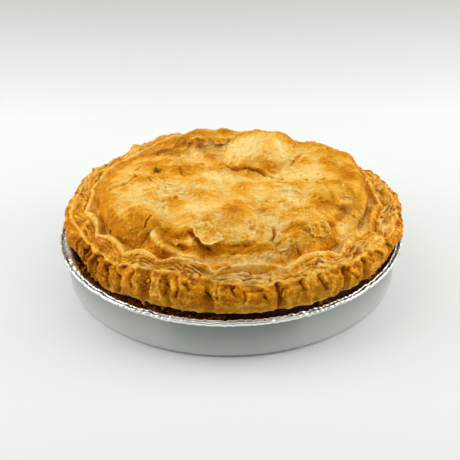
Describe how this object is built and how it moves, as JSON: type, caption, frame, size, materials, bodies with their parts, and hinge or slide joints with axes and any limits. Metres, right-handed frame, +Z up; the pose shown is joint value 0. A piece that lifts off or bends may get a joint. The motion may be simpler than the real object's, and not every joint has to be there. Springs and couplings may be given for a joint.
{
  "type": "apple pie",
  "caption": "Round baked pie with a domed flaky lid and a thick crimped edge, still in its shallow foil tin.",
  "frame": {"origin": "centre of the tin's flat underside, on the surface that the pie stands on", "axes": "+Z up through the middle of the lid; -Y towards the viewer of the picture; +X to the viewer's right"},
  "size_m": [0.224, 0.224, 0.074],
  "materials": {
    "foil": "satin rolled foil with a bright, finely crinkled rolled rim",
    "pastry": "baked flaky pastry, golden with pale cream hollows and red-brown tops"
  },
  "bodies": {
    "root": {"foil_tin": "foil", "apple_pie": "pastry"}
  },
  "joints": []
}
